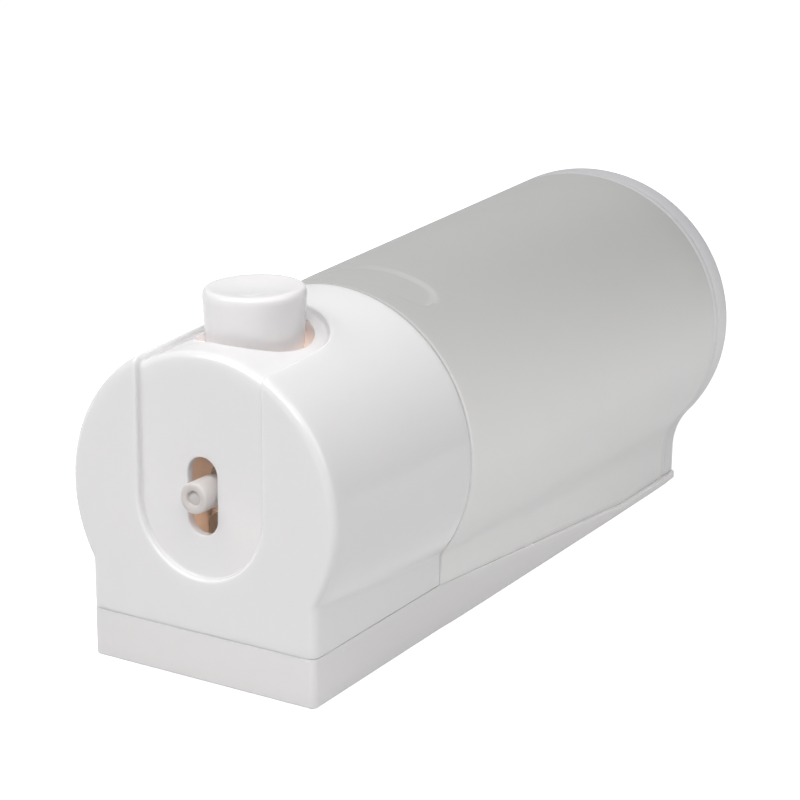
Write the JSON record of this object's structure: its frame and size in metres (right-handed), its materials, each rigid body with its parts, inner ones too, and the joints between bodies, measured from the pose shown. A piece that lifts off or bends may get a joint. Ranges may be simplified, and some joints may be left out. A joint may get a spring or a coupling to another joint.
{
  "type": "soap dispenser",
  "caption": "Wall-hung push soap dispenser: white housing with a round button and a silicone nozzle, frosted keyhole-section bottle, on a wall plate.",
  "frame": {"origin": "on the wall face of the plate, under the middle of the whole object's box", "axes": "+Z out of the wall, the way the button points; +Y along the body from the discharge end to the filling lid, which is up when it hangs on a wall; X across, symmetric"},
  "size_m": [0.0888, 0.202, 0.0911],
  "materials": {
    "white_abs": "moulded gloss",
    "frosted_bottle": "frosted translucent",
    "milky_silicone": "milky satin",
    "pump_acetal": "moulded satin",
    "plated_steel": "zinc plated"
  },
  "bodies": {
    "plate": {"wall_plate": "white_abs"},
    "dispenser": {"pump_housing": "white_abs", "chassis": "white_abs", "chassis_screw_1": "plated_steel", "chassis_screw_2": "plated_steel", "chassis_screw_3": "plated_steel", "chassis_screw_4": "plated_steel", "pump_screw_1": "plated_steel", "pump_screw_2": "plated_steel", "pump_body": "pump_acetal", "cylinder_cap": "pump_acetal", "return_spring": "plated_steel", "inlet_valve": "milky_silicone", "neck_gasket": "milky_silicone", "collar_nut": "white_abs", "bottle": "frosted_bottle"},
    "press": {"button": "white_abs", "pump_stem": "pump_acetal", "piston": "pump_acetal", "piston_seal": "milky_silicone", "nozzle_tube": "milky_silicone", "tube_clip": "plated_steel", "outlet_valve": "milky_silicone"},
    "lid": {"bottle_lid": "frosted_bottle", "lid_gasket": "milky_silicone"}
  },
  "joints": [
    {"name": "lift_off", "type": "slide", "parent": "plate", "child": "dispenser", "axis": [0, 1, 0], "range_m": [0, 0.014]},
    {"name": "button_press", "type": "slide", "parent": "dispenser", "child": "press", "axis": [0, 0, -1], "range_m": [0, 0.0055], "stiffness_N_per_m": 800, "springref_m": -0.004, "deforming": ["return_spring"]},
    {"name": "lid_pull", "type": "slide", "parent": "dispenser", "child": "lid", "axis": [0, 1, 0], "range_m": [0, 0.012]}
  ]
}
